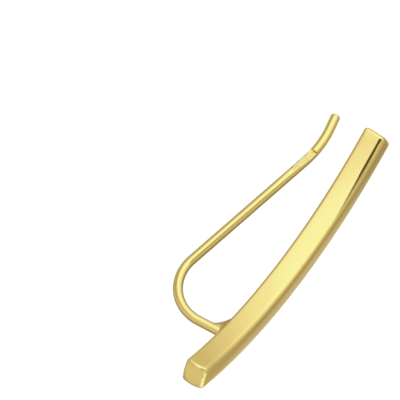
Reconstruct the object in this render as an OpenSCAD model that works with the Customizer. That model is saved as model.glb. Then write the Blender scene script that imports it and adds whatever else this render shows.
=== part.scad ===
// Ear climber for one ear. A curved square bar runs up the front of the lobe, and a hook of
// round wire, soldered square to the bar's back, holds it there. The hook's tip goes through
// the piercing, and the ear sits in the gap between the shank and the bar.
//
// Each piece is drawn upright, as it is worn: X across the bar, from its concave to its convex
// side, Y from front to back, Z up, with the centre of the bar's curve at the origin. The whole
// is then laid down as it comes to rest by itself, on its convex side.

/* [Bar] */
// Length of the bar along its curve
bar_length = 28; // [20:0.5:40]
// Radius that the centre line of the bar is bent to
bend_radius = 31.3; // [24:0.1:60]
// Width of the bar, from its concave to its convex side
bar_width = 2; // [1.6:0.1:3]
// Depth of the bar, from front to back
bar_depth = 2; // [1.6:0.1:3]
// Rounding of the two long front edges
front_round = 0.45; // [0.35:0.05:0.7]
// Rounding of the two long back edges and of both ends
edge_round = 0.3; // [0.1:0.05:0.3]

/* [Ear hook] */
// Diameter of the wire
wire_d = 0.8; // [0.6:0.05:1]
// Distance along the bar from its lower end to the foot of the hook
foot_up = 6; // [4:0.5:9]
// Depth of the hook, from the back of the bar to the outside of the bow
hook_depth = 6.2; // [5.5:0.1:9]
// Radius of the bow that turns the wire upward, on its centre line
bow_radius = 3.5; // [2:0.1:4]
// Angle at which the shank leans in towards the bar
shank_lean = 13.75; // [5:0.25:18]
// Straight length of the shank, from the bow to the flare
shank_length = 12.5; // [8:0.5:16]
// Radius of the flare that turns the tip away from the bar
flare_radius = 8.9; // [5:0.1:14]
// Angle at which the tip points away from the bar
tip_angle = 10; // [0:1:20]
// Straight length of the tip, up to its rounded end
tip_length = 1.2; // [1:0.1:3]
// Rounding of the cut end of the wire
tip_round = 0.12; // [0.05:0.01:0.2]
// Sideways swing of the hook from the line between its foot and the upper end of the bar
hook_swing = 0.5; // [-3:0.5:3]

/* [Flattened spot] */
// Length of the flattened spot on the shank, below the flare
flat_below = 1.3; // [0.5:0.1:2]
// Length of the flattened spot on the flare
flat_above = 1.1; // [0.5:0.1:1.5]
// Spread of the wire's width at the flattened spot
flat_spread = 0.06; // [0.02:0.01:0.2]
// Loss of the wire's thickness at the flattened spot
flat_squeeze = 0.14; // [0.04:0.01:0.3]

/* [Solder fillet] */
// Radius of the fillet where it leaves the wire, on its centre line
fillet_wire_radius = 1.2; // [0.8:0.1:1.6]
// Radius of the fillet where it runs out on the back of the bar
fillet_bar_radius = 2.6; // [1.8:0.1:3.4]
// How much narrower than the wire the round top of the fillet is
fillet_inset = 0.04; // [0.02:0.01:0.2]
// Depth that the end of the fillet is sunk below the back of the bar
fillet_bed = 0.05; // [0.02:0.01:0.1]

/* [Hidden] */
$fn = 48;
GOLD = [0.87, 0.75, 0.4];
RADIAN = 180 / PI;

wire_r = wire_d / 2;
// Half of the bar's angle, to its tip and to where the rounding of its end starts
half_angle = bar_length / 2 / bend_radius * RADIAN;
body_angle = (bar_length / 2 - edge_round) / bend_radius * RADIAN;
// Angle on the curve where the foot sits, below the bar's middle
foot_angle = (foot_up - bar_length / 2) / bend_radius * RADIAN;
// The hook's plane holds the foot and the upper end of the bar, apart from the swing
slant = (half_angle + foot_angle) / 2 + hook_swing;
// Wire between the back of the bar and the start of the bow
stub_length = hook_depth - wire_r - bow_radius;
flare_turn = shank_lean + tip_angle;
flat_turn = flat_above / flare_radius * RADIAN;
flat_width = wire_d + flat_spread;
flat_thickness = wire_d - flat_squeeze;
fillet_width = wire_d - fillet_inset;
// Each stretch of the wire starts a little way back in the one before it, and a bent stretch
// is a hair thinner than a straight one, so that they join in one clean line
joint_lap = 0.02;
bend_thinning = 0.006;
// Depth that the foot of the wire is sunk into the bar
sink = bar_depth / 4;

// Centre line of the fillet's round top: an arc that leaves the wire and one that runs out on
// the bar, each with half of the turn. Its top is stepped, each step at a share of its height.
fillet_turn = 45;
fillet_end = bar_depth / 2 - fillet_width / 2 - fillet_bed;
fillet_start = fillet_end + fillet_wire_radius * sin(fillet_turn)
    + fillet_bar_radius * (1 - sin(fillet_turn));
fillet_top = fillet_wire_radius * (1 - cos(fillet_turn)) + fillet_bar_radius * cos(fillet_turn);
fillet_facets = 6;
fillet_rises = [0, 0.4, 0.75, 0.95];
function fillet_arc(centre, radius, from) = [
    for (i = [0 : fillet_facets - 1])
        let (a = from + fillet_turn * i / fillet_facets)
        centre - radius * [sin(a), cos(a)]
];
function fillet_outline(rise) = concat(
    [[fillet_end, 0]],
    fillet_arc([fillet_start, fillet_wire_radius], fillet_wire_radius - rise, 0),
    fillet_arc([fillet_end + fillet_bar_radius, fillet_top], fillet_bar_radius - rise, fillet_turn),
    [[fillet_end + rise, fillet_top]]
);

// Middle of an arc in the hook's plane, as [length, back, up], from its centre, radius, the
// direction of its middle and its turn
function arc_part(centre, radius, middle, turn) =
    let (reach = radius * sin(turn / 2) / (turn / 2 / RADIAN))
    [radius * turn / RADIAN, centre.x + reach * cos(middle), centre.y + reach * sin(middle)];
function line_part(from, length, heading) =
    [length, from.x + length / 2 * cos(heading), from.y + length / 2 * sin(heading)];

// Points of the hook in its own plane, as [back from the bar's centre, up from the foot]
shank_heading = 90 + shank_lean;
tip_heading = 90 - tip_angle;
stub_start = [bar_depth / 2, 0];
bow_centre = stub_start + [stub_length, bow_radius];
shank_start = bow_centre + bow_radius * [cos(shank_lean), sin(shank_lean)];
flare_start = shank_start + shank_length * [cos(shank_heading), sin(shank_heading)];
flare_centre = flare_start + flare_radius * [cos(shank_lean), sin(shank_lean)];
tip_start = flare_centre - flare_radius * [cos(tip_angle), -sin(tip_angle)];

// Each stretch of the wire as [length, back, up], and the middle of the whole wire
hook_parts = [
    line_part(stub_start, stub_length, 0),
    arc_part(bow_centre, bow_radius, (shank_lean - 90) / 2, 90 + shank_lean),
    line_part(shank_start, shank_length, shank_heading),
    arc_part(flare_centre, flare_radius, 180 + (shank_lean - tip_angle) / 2, flare_turn),
    line_part(tip_start, tip_length, tip_heading)
];
function column_sum(rows, column) = [for (row = rows) row[0] * row[column]] * [for (row = rows) 1];
hook_length = [for (part = hook_parts) part[0]] * [for (part = hook_parts) 1];
hook_middle = [column_sum(hook_parts, 1), column_sum(hook_parts, 2)] / hook_length;

// A point [back, up] of the hook's plane, as the upright [X, Y, Z]
function upright(point) = [
    bend_radius * cos(foot_angle) - point.y * sin(slant),
    point.x,
    bend_radius * sin(foot_angle) + point.y * cos(slant)
];

// How it lies. The bar rests on its convex face, rolled along its curve until the centre of mass
// is right above the line that it touches the surface on.
bar_volume = bar_length * bar_width * bar_depth;
hook_volume = hook_length * PI * wire_r * wire_r;
bar_middle = [bend_radius * sin(half_angle) / (half_angle / RADIAN), 0, 0];
mass_middle = (bar_volume * bar_middle + hook_volume * upright(hook_middle))
    / (bar_volume + hook_volume);
rest_roll = atan(mass_middle.z / mass_middle.x);

// Centre of the footprint that it covers, along the bar and across it
edge_circle = bend_radius + bar_width / 2 - edge_round;
length_middle = -edge_circle * cos(body_angle) * sin(rest_roll);
depth_middle = hook_depth / 2;

// Quarter disc that rounds an edge
module quarter(r) {
    intersection() {
        circle(r);
        square(r);
    }
}

// Section of the bar, with its convex side at +X and its front at +Y
module bar_section() {
    translate([-bar_width / 2, edge_round - bar_depth / 2])
        square([bar_width, bar_depth - edge_round - front_round]);
    translate([edge_round - bar_width / 2, -bar_depth / 2])
        square([bar_width - 2 * edge_round, edge_round]);
    translate([front_round - bar_width / 2, bar_depth / 2 - front_round])
        square([bar_width - 2 * front_round, front_round]);
    for (side = [0, 1])
        mirror([side, 0]) {
            translate([bar_width / 2 - front_round, bar_depth / 2 - front_round])
                quarter(front_round);
            translate([bar_width / 2 - edge_round, edge_round - bar_depth / 2])
                rotate(-90) quarter(edge_round);
        }
}

// Straight length of a rounded edge, along +Y from the origin, rounded towards +X and +Z
module rounded_edge(length) {
    translate([0, length, 0]) rotate([90, 0, 0]) linear_extrude(length) quarter(edge_round);
}

// Last stretch of the bar, with its end face towards +Z and every edge of it rounded
module bar_end() {
    side_length = bar_depth - edge_round - front_round;
    back_length = bar_width - 2 * edge_round;
    front_length = bar_width - 2 * front_round;
    linear_extrude(edge_round) {
        translate([edge_round - bar_width / 2, edge_round - bar_depth / 2])
            square([back_length, side_length]);
        translate([front_round - bar_width / 2, bar_depth / 2 - front_round])
            square([front_length, front_round - edge_round]);
    }
    translate([-back_length / 2, edge_round - bar_depth / 2, 0]) rotate(-90)
        rounded_edge(back_length);
    translate([front_length / 2, bar_depth / 2 - edge_round, 0]) rotate(90)
        rounded_edge(front_length);
    for (side = [0, 1])
        mirror([side, 0, 0]) {
            translate([back_length / 2, edge_round - bar_depth / 2, 0]) {
                rounded_edge(side_length);
                rotate(-90) rotate_extrude(angle = 90) quarter(edge_round);
            }
            translate([front_length / 2, bar_depth / 2 - front_round, 0])
                rotate_extrude(angle = 90) {
                    square([front_round - edge_round, edge_round]);
                    translate([front_round - edge_round, 0]) quarter(edge_round);
                }
        }
}

// Square bar bent to an arc in the XZ plane
module bar() {
    rotate([90, 0, 0]) {
        rotate([0, 0, -body_angle]) rotate_extrude(angle = 2 * body_angle)
            translate([bend_radius, 0]) bar_section();
        for (end = [0, 1])
            mirror([0, end, 0]) rotate([0, 0, -body_angle]) translate([bend_radius, 0, 0])
                rotate([90, 0, 0]) bar_end();
    }
}

// Section of the wire, in its own plane: X in the hook's plane, Y across it
module wire_section(flat, thinning = 0) {
    if (flat)
        intersection() {
            circle(d = flat_width - thinning);
            square([flat_width, flat_thickness - thinning], center = true);
        }
    else
        circle(d = wire_d - thinning);
}

// The hook is drawn in the XY plane, X back from the bar's centre and Y up from the foot. A
// straight length runs along +X and a bend turns left, or right where its turn is negative, and
// the children carry on from its end.
module straight(length, flat = false) {
    translate([-joint_lap, 0, 0]) rotate([90, 0, 90]) linear_extrude(length + joint_lap)
        wire_section(flat);
    translate([length, 0, 0]) children();
}
module bend(radius, turn, flat = false) {
    side = sign(turn);
    lap_turn = joint_lap / radius * RADIAN;
    translate([0, side * radius, 0]) {
        rotate([0, 0, side > 0 ? -90 - lap_turn : 90 + turn])
            rotate_extrude(angle = abs(turn) + lap_turn)
            translate([radius, 0]) wire_section(flat, bend_thinning);
        rotate([0, 0, turn]) translate([0, -side * radius, 0]) children();
    }
}

// Straight tip with a rounded end
module tip() {
    rotate([0, 90, 0]) {
        translate([0, 0, -joint_lap]) cylinder(h = tip_length + joint_lap, d = wire_d);
        translate([0, 0, tip_length]) rotate_extrude() {
            square([wire_r - tip_round, tip_round]);
            translate([wire_r - tip_round, 0]) quarter(tip_round);
        }
    }
}

// One length of wire, from inside the bar round the bow and up the shank to the tip
module ear_hook() {
    translate([bar_depth / 2 - sink, 0, 0])
        straight(sink + stub_length)
        bend(bow_radius, 90 + shank_lean)
        straight(shank_length - flat_below)
        straight(flat_below, true)
        bend(flare_radius, -flat_turn, true)
        bend(flare_radius, flat_turn - flare_turn)
        tip();
}

// Solder drawn up into the corner above the foot, narrower towards its top
module solder_fillet() {
    for (rise = fillet_rises)
        linear_extrude(fillet_width * sqrt(1 - rise * rise), center = true)
            polygon(fillet_outline(rise * fillet_width / 2));
}

module ear_climber() {
    color(GOLD) {
        bar();
        translate([bend_radius * cos(foot_angle), 0, bend_radius * sin(foot_angle)])
            rotate([0, -slant, 0]) rotate([90, 0, 90]) {
                ear_hook();
                solder_fillet();
            }
    }
}

module laid_down() {
    translate([-length_middle, -depth_middle, bend_radius + bar_width / 2])
        rotate([0, 90 + rest_roll, 0]) children();
}

laid_down() ear_climber();
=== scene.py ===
import math

import bmesh
import bpy
from mathutils import Matrix, Vector


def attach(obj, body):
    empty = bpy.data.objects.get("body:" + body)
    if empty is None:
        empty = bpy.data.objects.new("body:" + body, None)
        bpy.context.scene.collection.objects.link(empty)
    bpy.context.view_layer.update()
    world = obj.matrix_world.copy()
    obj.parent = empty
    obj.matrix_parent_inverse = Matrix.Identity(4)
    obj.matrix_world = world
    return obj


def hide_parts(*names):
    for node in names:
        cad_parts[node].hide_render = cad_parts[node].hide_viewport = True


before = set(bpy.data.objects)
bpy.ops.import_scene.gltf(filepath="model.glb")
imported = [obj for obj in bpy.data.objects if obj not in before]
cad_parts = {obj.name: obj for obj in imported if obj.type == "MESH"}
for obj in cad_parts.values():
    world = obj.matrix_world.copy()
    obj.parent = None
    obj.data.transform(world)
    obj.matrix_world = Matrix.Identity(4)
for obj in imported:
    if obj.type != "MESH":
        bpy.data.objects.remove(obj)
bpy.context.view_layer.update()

# The bar: a length of square silver wire, bent to an arc that runs up the front of the ear, and
# plated with gold. Its long edges are filed round, the front ones more than the back ones, and its
# ends to a low dome. Buffing has left all but its convex face a little crowned.
mm = 0.001
bar_length = 28 * mm
bend_radius = 31.3 * mm
bar_width = 2 * mm
bar_depth = 2 * mm
front_round = 0.45 * mm
back_round = 0.25 * mm
face_crown = 0.01 * mm
low_end_round = 0.4 * mm
top_end_round = 0.32 * mm
end_dome = 0.1 * mm
bar_steps = 48
face_steps = 6
round_steps = 8
flat_steps = 6
same_spot = 0.001 * mm

# How it lies: on its convex side, rolled a little towards the end that the hook weighs down, and
# with its middle over the origin. Each piece is modelled as worn, with the centre of the bar's bend
# at the origin, X towards its convex side, Y back and Z up, and is then laid down.
hook_depth = 6.2 * mm
rest_roll = math.radians(0.1944)
rest_shift = 0.0983 * mm
laid_down = (
    Matrix.Translation(Vector((rest_shift, -hook_depth / 2, bend_radius + bar_width / 2)))
    @ Matrix.Rotation(math.radians(90) + rest_roll, 4, "Y")
)


def edit(piece):
    """Opens a piece in edit mode with nothing selected."""
    bpy.context.view_layer.objects.active = piece
    bpy.ops.object.mode_set(mode="EDIT")
    bpy.ops.mesh.select_mode(type="FACE")
    bpy.ops.mesh.select_all(action="DESELECT")


def pick_points(piece, test):
    """Selects the points of a piece in edit mode that pass a test."""
    bpy.ops.mesh.select_mode(type="VERT")
    mesh = bmesh.from_edit_mesh(piece.data)
    for vert in mesh.verts:
        vert.select_set(test(vert.co))
    mesh.select_flush_mode()
    bmesh.update_edit_mesh(piece.data)


def pick_edges(piece, test):
    """Selects the edges of a piece in edit mode whose two ends pass a test together."""
    bpy.ops.mesh.select_mode(type="EDGE")
    bpy.ops.mesh.select_all(action="DESELECT")
    mesh = bmesh.from_edit_mesh(piece.data)
    for edge in mesh.edges:
        edge.select_set(test(edge.verts[0].co, edge.verts[1].co))
    bmesh.update_edit_mesh(piece.data)


def round_corners(radius, in_front):
    """Rounds the two front or the two back corners of the bar's section."""
    pick_points(bar, lambda p: (p.y < 0) == in_front)
    bpy.ops.mesh.bevel(offset=radius, segments=round_steps, affect="VERTICES")


def crown_flat(middle, half_flat, outward, rise=face_crown):
    """Cuts one flat of the section into steps and pushes its middle out, in an even curve."""
    along = outward.cross(Vector((0, 0, 1)))

    def on_flat(point):
        return abs((point - middle).dot(outward)) < same_spot

    pick_edges(bar, lambda a, b: on_flat(a) and on_flat(b) and (a - b).length > half_flat)
    bpy.ops.mesh.subdivide(number_cuts=face_steps - 1)
    for step in range(1, face_steps):
        share = 2 * step / face_steps - 1
        spot = middle + along * half_flat * share
        pick_points(bar, lambda p: (p - spot).length < same_spot)
        bpy.ops.transform.translate(value=outward * rise * (1 - share**2))


# The section is drawn flat, with X towards the convex side and Y back
bpy.ops.object.select_all(action="DESELECT")
bpy.ops.mesh.primitive_plane_add(size=bar_width, location=(bend_radius, 0, 0))
bar = bpy.context.object
bar.name = "bar"
bpy.ops.object.transform_apply(location=True)
edit(bar)
round_corners(front_round, in_front=True)
round_corners(back_round, in_front=False)
half_width = bar_width / 2
half_depth = bar_depth / 2
side_middle = (front_round - back_round) / 2
half_side = half_depth - (front_round + back_round) / 2
crown_flat(Vector((bend_radius, -half_depth, 0)), half_width - front_round, Vector((0, -1, 0)))
crown_flat(Vector((bend_radius, half_depth, 0)), half_width - back_round, Vector((0, 1, 0)))
crown_flat(Vector((bend_radius - half_width, side_middle, 0)), half_side, Vector((-1, 0, 0)))
crown_flat(Vector((bend_radius + half_width, side_middle, 0)), half_side, Vector((1, 0, 0)), rise=0)
bpy.ops.mesh.select_all(action="SELECT")
bpy.ops.mesh.delete(type="ONLY_FACE")
bpy.ops.object.mode_set(mode="OBJECT")


def place(piece, matrix):
    """Puts a finished mesh where it belongs and leaves its object at the origin."""
    piece.matrix_world = matrix
    bpy.ops.object.select_all(action="DESELECT")
    piece.select_set(True)
    bpy.context.view_layer.objects.active = piece
    bpy.ops.object.transform_apply(location=True, rotation=True, scale=True)


# It is set at the lower end and spun along the bend, up to where the ends turn in
half_angle = bar_length / 2 / bend_radius
low_angle = half_angle - low_end_round / bend_radius
top_angle = half_angle - top_end_round / bend_radius
place(bar, Matrix.Rotation(low_angle, 4, "Y"))
edit(bar)
bpy.ops.mesh.select_all(action="SELECT")
bpy.ops.mesh.spin(steps=bar_steps, angle=low_angle + top_angle, center=(0, 0, 0), axis=(0, 1, 0))


def close_end(side, end_round, corner_wear, slant, extra):
    """Draws one end of the bar in to a round edge and a low dome. Side is -1 below and 1 above.
    The hand-sawn end slants a little, and is a trace longer than the bar's measure."""
    angle = (half_angle - end_round / bend_radius) * side
    middle = Vector((math.cos(angle), 0, math.sin(angle))) * bend_radius
    outward = Vector((-math.sin(angle), 0, math.cos(angle))) * side

    # Each ring has its reach past the spun part, its share of the section's width, and its wear
    rings = []
    for step in range(1, round_steps + 1):
        turned = math.radians(90) * step / round_steps
        drawn_in = 1 - end_round / half_width * (1 - math.cos(turned))
        rings.append((end_round * math.sin(turned), drawn_in, corner_wear * step / round_steps))
    for step in range(1, flat_steps):
        rings.append((end_round, drawn_in * (1 - step / flat_steps), corner_wear))

    def past_end(point):
        return (point - middle).dot(outward)

    pick_edges(bar, lambda a, b: abs(past_end(a)) < same_spot and abs(past_end(b)) < same_spot)
    reach = 0
    share = 1
    for next_reach, next_share, wear in rings:
        step = outward * (next_reach - reach)
        bpy.ops.mesh.extrude_region_move(TRANSFORM_OT_translate={"value": step})
        shrink = next_share / share
        centre = middle + outward * next_reach
        bpy.ops.transform.resize(value=(shrink, shrink, shrink), center_override=centre)
        bpy.ops.transform.tosphere(value=wear)
        reach = next_reach
        share = next_share
    bpy.ops.mesh.extrude_region_move()
    bpy.ops.mesh.merge(type="CENTER")
    bpy.ops.transform.translate(
        value=outward * end_dome,
        use_proportional_edit=True,
        proportional_edit_falloff="SMOOTH",
        proportional_size=half_width,
    )
    pick_points(bar, lambda p: past_end(p) > -same_spot)
    bpy.ops.transform.translate(value=outward * extra)
    bar_mesh = bmesh.from_edit_mesh(bar.data)
    for vert in bar_mesh.verts:
        if vert.select:
            vert.co += outward * vert.co.y * math.tan(slant)
    bmesh.update_edit_mesh(bar.data)


def close_up(piece):
    """Merges what lies on the same spot, turns every face outwards and leaves edit mode."""
    bpy.ops.mesh.select_all(action="SELECT")
    bpy.ops.mesh.remove_doubles(threshold=same_spot)
    bpy.ops.mesh.normals_make_consistent(inside=False)
    bpy.ops.object.mode_set(mode="OBJECT")


close_end(-1, low_end_round, corner_wear=0.36, slant=math.radians(-2.5), extra=0.1 * mm)
close_end(1, top_end_round, corner_wear=0.05, slant=math.radians(5), extra=0.085 * mm)
close_up(bar)
bpy.ops.object.shade_smooth()
evening = bar.modifiers.new("even faces", "WEIGHTED_NORMAL")
evening.keep_sharp = False
bpy.ops.object.modifier_apply(modifier=evening.name)
place(bar, laid_down)


class Flow:
    """A value on its way through a material's nodes. Sums on it add Math nodes."""

    def __init__(self, tree, socket=None):
        self.tree = tree
        self.socket = socket

    def add(self, kind, settings=None, sockets=None, output=0):
        """Adds a node. Its settings are set first, and then its sockets get a value or a link."""
        node = self.tree.nodes.new("ShaderNode" + kind)
        for name, value in (settings or {}).items():
            if name == "stops":
                while len(node.color_ramp.elements) < len(value):
                    node.color_ramp.elements.new(1)
                for element, (position, color) in zip(node.color_ramp.elements, value):
                    element.position = position
                    element.color = (*color, 1)
            else:
                setattr(node, name, value)
        for name, value in (sockets or {}).items():
            if isinstance(value, Flow):
                self.tree.links.new(value.socket, node.inputs[name])
            else:
                node.inputs[name].default_value = value
        return Flow(self.tree, node.outputs[output] if node.outputs else None)

    def math(self, operation, a, b=0):
        return self.add("Math", {"operation": operation}, {0: a, 1: b})

    def __add__(self, other):
        return self.math("ADD", self, other)

    __radd__ = __add__

    def __sub__(self, other):
        return self.math("SUBTRACT", self, other)

    def __rsub__(self, other):
        return self.math("SUBTRACT", other, self)

    def __mul__(self, other):
        return self.math("MULTIPLY", self, other)

    __rmul__ = __mul__

    def dot(self, direction):
        """How far this place lies in a direction."""
        return self.add(
            "VectorMath", {"operation": "DOT_PRODUCT"}, {0: self, 1: direction}, output="Value"
        )

    def blend(self, first, second):
        """Colour between two colours, at this value's share of the second."""
        return self.add("Mix", {"data_type": "RGBA"}, {0: self, 6: first, 7: second}, output=2)


def made_of(name, surface):
    """A material whose surface is drawn by a function that gets its empty node tree."""
    material = bpy.data.materials.new(name)
    material.use_nodes = True
    material.node_tree.nodes.clear()
    flow = Flow(material.node_tree)
    flow.add("OutputMaterial", sockets={"Surface": surface(flow)})
    return material


def gold_plate(
    flow,
    tone=(1, 0.8, 0.3),
    worn_tone=(1, 0.765, 0.28),
    gloss=0.06,
    ripple=0.002 * mm,
    ripple_size=2.4 * mm,
):
    """Plated gold: a tone that drifts a little, a polish with faint smears that run along the
    object, and a soft ripple."""
    drifts_per_metre = 260
    smears_per_metre = 2600
    smear_stretch = (0.15, 1, 1)
    smear_dullness = 0.04
    where = flow.add("TexCoord", output="Object")
    strokes = flow.add("Mapping", sockets={"Vector": where, "Scale": smear_stretch})
    drift = flow.add("TexNoise", sockets={"Vector": where, "Scale": drifts_per_metre, "Detail": 3})
    smears = flow.add("TexNoise", sockets={"Vector": strokes, "Scale": smears_per_metre, "Detail": 4})
    swell = flow.add("TexNoise", sockets={"Vector": where, "Scale": 1 / ripple_size, "Detail": 2})
    surface = flow.add(
        "Bump", sockets={"Strength": 1, "Distance": ripple, "Height": swell}, output="Normal"
    )
    return flow.add(
        "BsdfPrincipled",
        sockets={
            "Base Color": drift.blend((*tone, 1), (*worn_tone, 1)),
            "Metallic": 1,
            "Roughness": gloss + smear_dullness * smears,
            "Normal": surface,
        },
    )


bar.data.materials.clear()
bar.data.materials.append(made_of("polished gold plate", gold_plate))
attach(bar, "root")
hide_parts("ear_climber")

# The ear hook: one length of round wire, soldered square to the back of the bar, bent round in
# a bow and up behind the ear, with its tip flared away from the bar. Where the shank ends, a
# punch has left a rough flat, deepest at its top, on the same side as the bar's inner curve.
wire_d = 0.8 * mm
wire_r = wire_d / 2
foot_up = 6 * mm
bow_radius = 3.5 * mm
shank_lean = math.radians(13.75)
shank_length = 12.5 * mm
flare_radius = 8.9 * mm
tip_angle = math.radians(10)
tip_length = 1.2 * mm
tip_round = 0.12 * mm
hook_swing = math.radians(0.5)
flat_below = 1.3 * mm
flat_above = 1.1 * mm
flat_cut = 0.19 * mm
flat_start_cut = 0.05 * mm
flat_rings = 8
wire_sides = 40

# It is drawn flat, with X back from the bar's centre line, Y up the bar and Z across. It stands
# along a line from its foot to the top of the bar, swung a little towards the inner curve.
foot_angle = (foot_up - bar_length / 2) / bend_radius
hook_slant = (half_angle + foot_angle) / 2 + hook_swing
foot = Vector((math.cos(foot_angle), 0, math.sin(foot_angle))) * bend_radius
drawn_to_worn = Matrix(((0, 0, 1, 0), (1, 0, 0, 0), (0, 1, 0, 0), (0, 0, 0, 1)))
hook_stands = (
    laid_down @ Matrix.Translation(foot) @ Matrix.Rotation(-hook_slant, 4, "Y") @ drawn_to_worn
)


def run_on(length, heading, steps=1):
    """Draws the open end of the wire on along a straight line."""
    step = Vector((math.cos(heading), math.sin(heading), 0)) * (length / steps)
    for _ in range(steps):
        bpy.ops.mesh.extrude_region_move(TRANSFORM_OT_translate={"value": step})


def turn(centre, angle, steps):
    """Bends the open end of the wire round a centre, to the left if the angle is positive.
    The spin operator itself turns clockwise round its axis."""
    bpy.ops.mesh.spin(
        steps=steps,
        angle=abs(angle),
        center=(centre.x, centre.y, 0),
        axis=(0, 0, -math.copysign(1, angle)),
    )


foot_start = half_depth / 2
stub_length = hook_depth - wire_r - bow_radius
bow_centre = Vector((half_depth + stub_length, bow_radius, 0))
shank_heading = math.radians(90) + shank_lean
shank_way = Vector((math.cos(shank_heading), math.sin(shank_heading), 0))
from_bar = Vector((math.cos(shank_lean), math.sin(shank_lean), 0))
flare_start = bow_centre + bow_radius * from_bar + shank_length * shank_way
flare_centre = flare_start + flare_radius * from_bar
flare_turn = shank_lean + tip_angle
flat_turn = flat_above / flare_radius
close_turn = 0.003

bpy.ops.object.select_all(action="DESELECT")
bpy.ops.mesh.primitive_circle_add(
    vertices=wire_sides,
    radius=wire_r,
    fill_type="NGON",
    location=(foot_start, 0, 0),
    rotation=(0, math.radians(90), 0),
)
ear_hook = bpy.context.object
ear_hook.name = "ear_hook"
bpy.ops.object.transform_apply(location=True, rotation=True)
edit(ear_hook)
bpy.ops.mesh.select_all(action="SELECT")
run_on(half_depth - foot_start + stub_length, 0, steps=4)
turn(bow_centre, shank_heading, steps=28)
run_on(shank_length - flat_below, shank_heading, steps=8)
run_on(flat_below, shank_heading, steps=flat_rings)
turn(flare_centre, -flat_turn, steps=flat_rings - 1)
# A ring close behind the last one keeps the upper end of the flat sharp
turn(flare_centre, -close_turn, steps=1)
turn(flare_centre, flat_turn + close_turn - flare_turn, steps=14)
run_on(tip_length, math.radians(90) - tip_angle, steps=2)
bpy.ops.mesh.bevel(offset=tip_round, segments=3, affect="EDGES")


def along_wire(point):
    """How far along the wire a point lies past the start of the flare."""
    arm = point - flare_centre
    turned = math.atan2(arm.dot(shank_way), -arm.dot(from_bar))
    return flare_radius * turned if turned > 0 else arm.dot(shank_way)


# The punch presses the rings of the flat down, each a little further than the one before it
ring_spread = 0.01 * mm
flat_levels = [flat_below * (ring / flat_rings - 1) for ring in range(flat_rings)]
flat_levels += [flat_above * ring / (flat_rings - 1) for ring in range(flat_rings)]
flat_slope = (flat_cut - flat_start_cut) / (flat_below + flat_above)
for level in flat_levels:
    cut = flat_start_cut + flat_slope * (level + flat_below) - wire_r
    pick_points(ear_hook, lambda p: abs(along_wire(p) - level) < ring_spread and p.z < cut)
    bpy.ops.transform.resize(value=(1, 1, 0), center_override=(0, 0, cut))
close_up(ear_hook)
bpy.ops.object.shade_smooth_by_angle(angle=math.radians(35))


def hook_plate(flow):
    """Polished gold all round, rough gold on the punched flat, and painted shade, a darker and less
    glossy gold, in the corner at its top.
    """
    as_laid = hook_stands.to_3x3()
    out_of_flat = as_laid @ (flat_slope * shank_way - Vector((0, 0, 1)))
    up_shank = as_laid @ shank_way
    to_bar = as_laid @ -from_bar
    depth_here = flat_start_cut + flat_slope * flat_below
    flat_middle = hook_stands @ (flare_start + Vector((0, 0, depth_here - wire_r)))
    where = flow.add("TexCoord", output="Object")

    def past(way, distance, softness):
        """Rises from 0 to 1 up to a distance from the flat's middle, measured in one direction."""
        level = flat_middle.dot(way) + distance
        return flow.add(
            "MapRange",
            sockets={"Value": where.dot(way), "From Min": level - softness, "From Max": level},
        )

    polished = gold_plate(flow)
    rough = gold_plate(
        flow,
        tone=(1, 0.78, 0.3),
        worn_tone=(0.86, 0.64, 0.24),
        gloss=0.14,
        ripple=0.05 * mm,
        ripple_size=0.3 * mm,
    )
    level_with_flat = past(out_of_flat, distance=-0.005 * mm, softness=0.006 * mm)
    past_start = past(up_shank, distance=-flat_below, softness=0.05 * mm)
    before_end = past(-up_shank, distance=-flat_above, softness=0.02 * mm)
    on_punched = level_with_flat * past_start * before_end
    finish = flow.add("MixShader", sockets={0: on_punched, 1: polished, 2: rough})

    # Painted shade: the corner under the step at the flat's top, on the bar's side, gets a darker,
    # less glossy gold where shade falls into it
    painted_shade_plate = gold_plate(flow, tone=(0.7, 0.52, 0.17), worn_tone=(0.55, 0.39, 0.12), gloss=0.3)
    near_step = past(up_shank, distance=flat_above - 0.02 * mm, softness=0.05 * mm)
    before_step_end = past(-up_shank, distance=-flat_above - 0.045 * mm, softness=0.02 * mm)
    over_flat = past(out_of_flat, distance=-0.01 * mm, softness=0.02 * mm)
    low_on_step = past(-out_of_flat, distance=-0.13 * mm, softness=0.03 * mm)
    on_bar_side = past(to_bar, distance=0.1 * mm, softness=0.25 * mm)
    # Where the painted shade lies: in the step's corner, over the flat, on the bar's side
    painted_shade_in_corner = near_step * before_step_end * over_flat * low_on_step * on_bar_side
    return flow.add("MixShader", sockets={0: painted_shade_in_corner, 1: finish, 2: painted_shade_plate})


ear_hook.data.materials.append(made_of("gold plate with a punched flat", hook_plate))
place(ear_hook, hook_stands)
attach(ear_hook, "root")
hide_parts("ear_climber")

# The solder: drawn by the heat round the foot and into the corner above it, where it has set in
# a smooth hollow between the wire and the bar. It took the polish less well and looks browner.
solder_sunk = 0.02 * mm
solder_bed = 0.05 * mm
solder_rise = 0.1 * mm
solder_spread = 0.55 * mm
solder_fan = 0.3
solder_fan_reach = 0.7 * mm
fan_steps = 5
fan_step = 0.1
hollow_wire_radius = 0.75 * mm
hollow_bar_radius = 2.9 * mm
hollow_turn = math.radians(45)
hollow_steps = 12
solder_lean = math.radians(18)
solder_bends = 4
bend_step = 0.3 * mm

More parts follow.
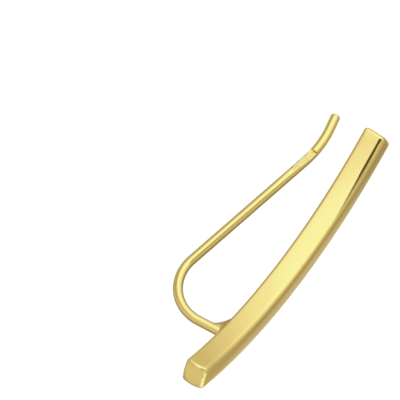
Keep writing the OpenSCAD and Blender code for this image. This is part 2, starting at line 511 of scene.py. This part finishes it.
# The hollow's ridge, as seen from the side: along the wire first and then up along the bar
solder_start_r = wire_r - solder_sunk
solder_end = half_depth - solder_bed
solder_start = (
    solder_end
    + hollow_bar_radius * (1 - math.cos(hollow_turn))
    + hollow_wire_radius * math.sin(hollow_turn)
)
ridge = []
for step in range(hollow_steps + 1):
    turned = hollow_turn * step / hollow_steps
    back = solder_start - hollow_wire_radius * math.sin(turned)
    up = solder_start_r + hollow_wire_radius * (1 - math.cos(turned))
    ridge.append((back, up))
meet_up = up
for step in range(1, hollow_steps + 1):
    turned = hollow_turn * (1 - step / hollow_steps)
    back = solder_end + hollow_bar_radius * (1 - math.cos(turned))
    up = meet_up + hollow_bar_radius * (math.sin(hollow_turn) - math.sin(turned))
    ridge.append((back, up))


def solder_radius(back):
    """The solder's radius beside the wire, at a distance back from the bar's centre line."""
    near_bar = max(0, 1 - (back - solder_end) / solder_spread)
    return solder_start_r + (wire_r + solder_rise - solder_start_r) * near_bar**2


bpy.ops.object.select_all(action="DESELECT")
bpy.ops.mesh.primitive_circle_add(
    vertices=wire_sides,
    radius=solder_start_r,
    fill_type="NGON",
    location=(solder_start, 0, 0),
    rotation=(0, math.radians(-90), 0),
)
solder = bpy.context.object
solder.name = "solder_fillet"
bpy.ops.object.transform_apply(location=True, rotation=True)
edit(solder)
bpy.ops.mesh.select_all(action="SELECT")
for (back, _), (next_back, _) in zip(ridge, ridge[1:]):
    step = Vector((next_back - back, 0, 0))
    bpy.ops.mesh.extrude_region_move(TRANSFORM_OT_translate={"value": step})
    grown = solder_radius(next_back) / solder_radius(back)
    bpy.ops.transform.resize(value=(1, grown, grown), center_override=(0, 0, 0))
for back, up in ridge:
    # The upper half of each ring is drawn up into the corner, as far as the ridge
    pick_points(solder, lambda p: abs(p.x - back) < same_spot and p.y > same_spot)
    stretch = up / solder_radius(back)
    bpy.ops.transform.resize(value=(1, stretch, 1), center_override=(0, 0, 0))
    # Close to the bar it fans out to the sides, the more the higher it reaches
    near_bar = max(0, 1 - (back - solder_end) / solder_fan_reach)
    widened = (1 + solder_fan * near_bar**2) ** (1 / fan_steps)
    for step in range(1, fan_steps + 1):
        level = fan_step * step * up
        pick_points(solder, lambda p: abs(p.x - back) < same_spot and p.y > level)
        bpy.ops.transform.resize(value=(1, 1, widened), center_override=(0, 0, 0))
# It leaves the wire in the hook's plane and turns to run out along the bar
for step in range(1, solder_bends + 1):
    level = step * bend_step
    pick_points(solder, lambda p: p.y > level)
    bpy.ops.transform.rotate(
        value=-solder_lean / solder_bends, orient_axis="X", center_override=(0, level, 0)
    )
close_up(solder)
bpy.ops.object.shade_smooth_by_angle(angle=math.radians(60))
place(solder, hook_stands)


def solder_plate(flow):
    """Gold over solder: browner and duller."""
    return gold_plate(
        flow,
        tone=(0.94, 0.72, 0.27),
        worn_tone=(0.78, 0.58, 0.2),
        gloss=0.2,
        ripple=0.012 * mm,
        ripple_size=0.5 * mm,
    )


solder.data.materials.append(made_of("gold plate on solder", solder_plate))
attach(solder, "root")
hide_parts("ear_climber")

# The table: a white board that glows softly from below, so that nothing casts a hard shadow. The
# camera and the matt light see it, and the polish doesn't.
table_size = 4000 * mm


def glowing(name, shade, glow, matte_share):
    """A stage material that glows, evenly or by a function, and takes some light as well."""

    def surface(flow):
        color = glow(flow) if callable(glow) else glow
        light = flow.add("Emission", sockets={"Color": color, "Strength": 1})
        face = flow.add("BsdfDiffuse", sockets={"Color": (*shade, 1)})
        return flow.add("MixShader", sockets={0: matte_share, 1: light, 2: face})

    return made_of(name, surface)


bpy.ops.mesh.primitive_plane_add(size=table_size)
table = bpy.context.object
table.name = "table"
table.data.materials.append(
    glowing("white board", shade=(0.95, 0.93, 0.9), glow=(1.25, 1.25, 1.25, 1), matte_share=0.3)
)
table.visible_glossy = False

# The graded paper: a glowing sheet that lies on the board and shows in the polish alone, where it
# paints a reflection of the floor with the parts' shade on it. It is darker in front of the bar, with
# a paler strip close to it, and darker still under the hook.
paper_up = 0.01 * mm
front_span = 20 * mm
lift_start = -4 * mm
lift_end = -11 * mm
oval_across = 32 * mm
oval_deep = 24 * mm
oval_back = 1 * mm
under_bar = -3 * mm


def painted_floor_shade(flow):
    """The sheet's glow, painted shade and light as the polish sees the floor: graded forwards in
    front of the bar, and in an oval behind it.
    """
    place_on_paper = flow.add("TexCoord", output="Object")
    sideways = place_on_paper.dot((1, 0, 0))
    backward = place_on_paper.dot((0, 1, 0))
    # The stops run from the front of the span to the middle of the part
    before_bar = flow.add(
        "ValToRGB",
        {
            "stops": (
                (0, (0.51, 0.49, 0.42)),
                (0.55, (0.43, 0.4, 0.29)),
                (0.675, (0.36, 0.33, 0.22)),
                (0.735, (0.365, 0.335, 0.23)),
                (0.78, (0.56, 0.52, 0.46)),
            )
        },
        {"Fac": 1 / front_span * backward + 1},
    )
    # Painted light: it is brighter towards the lower end, beside the white card
    lift = flow.add(
        "MapRange",
        sockets={
            "Value": sideways,
            "From Min": lift_start,
            "From Max": lift_end,
            "To Min": 1,
            "To Max": 1.25,
        },
    )
    lifted = flow.add("VectorMath", {"operation": "SCALE"}, {0: before_bar, "Scale": lift})
    # Painted shade: under the hook it is darkest, and it pales on all sides up to the oval's rim
    oval = flow.add(
        "Mapping",
        {"vector_type": "POINT"},
        {
            "Vector": place_on_paper,
            "Location": (0, -oval_back / oval_deep, 0),
            "Scale": (1 / oval_across, 1 / oval_deep, 1),
        },
    )
    far_out = flow.add("VectorMath", {"operation": "LENGTH"}, {0: oval}, output="Value")
    round_hook = flow.add(
        "ValToRGB",
        {
            "stops": (
                (0, (0.29, 0.295, 0.235)),
                (0.25, (0.31, 0.315, 0.255)),
                (0.5, (0.42, 0.415, 0.35)),
                (0.8, (0.64, 0.62, 0.55)),
                (1, (0.68, 0.66, 0.6)),
            )
        },
        {"Fac": far_out},
    )
    return flow.math("GREATER_THAN", backward, under_bar).blend(lifted, round_hook)


def only_in_polish(thing):
    """Leaves a stage piece to the reflections alone."""
    thing.visible_camera = False
    thing.visible_diffuse = False
    thing.visible_shadow = False


bpy.ops.mesh.primitive_plane_add(size=table_size, location=(0, 0, paper_up))
bpy.ops.object.transform_apply(location=True)
paper = bpy.context.object
# It only glows, and its grade is painted shade and light for the reflections
paper.name = "floor_shade_painted_sheet"
paper.data.materials.append(glowing("graded paper", shade=(0, 0, 0), glow=painted_floor_shade, matte_share=0))
only_in_polish(paper)

# The white card: a glowing square on the paper in front of the lower end, seen in the polish alone.
# Its glow is painted light, which paints the glint on the front corner there.
card_size = 66 * mm
card_place = Vector((-47, -37.9, 0.03)) * mm
bpy.ops.mesh.primitive_plane_add(size=card_size, location=card_place)
card = bpy.context.object
card.name = "glint_painting_card"
# The card's glow is painted light for the glint
card.data.materials.append(
    glowing("white card", shade=(0, 0, 0), glow=(0.95, 1.05, 1.1, 1), matte_share=0)
)
only_in_polish(card)

# The camera: a long lens, half a metre away, that looks down from the side to which the bar turns
# its inner curve and its front face.
aim = Vector((3.01, 7.174, 0.014)) * mm
look = Vector((0.46786, 0.32801, -0.82068))
picture_up = Vector((0.69697, 0.43404, 0.57082))
camera_distance = 470.9 * mm
picture_right = look.cross(picture_up)
bpy.ops.object.camera_add()
camera = bpy.context.object
axes = Matrix((picture_right, picture_up, -look)).transposed().to_4x4()
camera.matrix_world = Matrix.Translation(aim - look * camera_distance) @ axes
camera.data.lens = 527.7
camera.data.sensor_width = 36
camera.data.clip_end = 10
bpy.context.scene.camera = camera

# The camera stand's arm: a tapered arm under black cloth, seen in the polish alone, from high above
# the part down to its front. Its glow is painted, near black at the head and grey towards the tip,
# and its painted reflection is a thin dark line where an edge of the bar turns to it.
stand_distance = 500 * mm
stand_head = Vector((-0.28, 0.05, 0.96)) * stand_distance
arm_tip = Vector((0.16, -0.87, 0.49)) * stand_distance
arm_root_radius = 88 * mm
arm_tip_radius = 42 * mm


def painted_arm_glow(flow):
    """The cloth's painted glow: black near the head and brighter towards the tip of the arm, as
    painted light on it.
    """
    along_arm = flow.add("TexCoord", output="Object").dot((0, 0, 1))
    return flow.add(
        "ValToRGB",
        {
            "stops": (
                (0, (0.09, 0.07, 0.03)),
                (0.4, (0.12, 0.1, 0.06)),
                (0.62, (0.38, 0.35, 0.28)),
                (1, (0.6, 0.56, 0.48)),
            )
        },
        {"Fac": 1 / stand_distance * along_arm + 0.5},
    )


arm_run = arm_tip - stand_head
bpy.ops.mesh.primitive_cone_add(
    vertices=32, radius1=arm_root_radius, radius2=arm_tip_radius, depth=arm_run.length
)
arm = bpy.context.object
arm.name = "stand_arm_painted_reflection"
arm_turn = arm_run.to_track_quat("Z", "Y").to_matrix().to_4x4()
arm.matrix_world = Matrix.Translation((arm_tip + stand_head) / 2) @ arm_turn
arm.data.materials.append(
    glowing("black cloth", shade=(0.01, 0.01, 0.01), glow=painted_arm_glow, matte_share=0)
)
only_in_polish(arm)

# The light: a tent of white cloth, brightest overhead and a little to the right, which falls off
# towards the back and has duller walls. A lamp low at the front left adds to the card's glint.
overhead_way = (0.3, -0.1, 1)
overhead_lift = 0.03
back_start = 0.37
back_drop = 1.3
left_wall_top = 0.56
lamp_way = (-0.62, -0.77, 0.12)
lamp_edge = 0.9
lamp_core = 0.97

world = bpy.context.scene.world
if world is None:
    world = bpy.data.worlds.new("tent")
    bpy.context.scene.world = world
world.use_nodes = True
world.node_tree.nodes.clear()
tent = Flow(world.node_tree)
way = tent.add("TexCoord", output="Generated")
into_back = tent.math("MAXIMUM", way.dot((0, 1, 0)) - back_start, 0)
overhead = way.dot(overhead_way) + overhead_lift - back_drop * into_back
left_wall = tent.math("MINIMUM", way.dot((-1, 0, 0)), left_wall_top)
towards_light = tent.math("MAXIMUM", overhead, left_wall)
cloth = tent.add(
    "ValToRGB",
    {
        "stops": (
            (0, (0.44, 0.42, 0.37)),
            (0.3, (0.56, 0.53, 0.47)),
            (0.53, (0.63, 0.6, 0.53)),
            (0.71, (0.78, 0.765, 0.73)),
            (0.84, (0.89, 0.935, 0.935)),
            (0.9, (0.905, 0.985, 0.99)),
            (0.96, (0.935, 1.1, 1.17)),
            (1, (0.955, 1.14, 1.23)),
        )
    },
    {"Fac": towards_light},
)
in_lamp = tent.add(
    "MapRange", sockets={"Value": way.dot(lamp_way), "From Min": lamp_edge, "From Max": lamp_core}
)
lit = in_lamp.blend(cloth, (0.95, 1.08, 1.13, 1))
sky = tent.add("Background", sockets={"Color": lit, "Strength": 1})
tent.add("OutputWorld", sockets={"Surface": sky})

bpy.context.scene.view_settings.view_transform = "Standard"
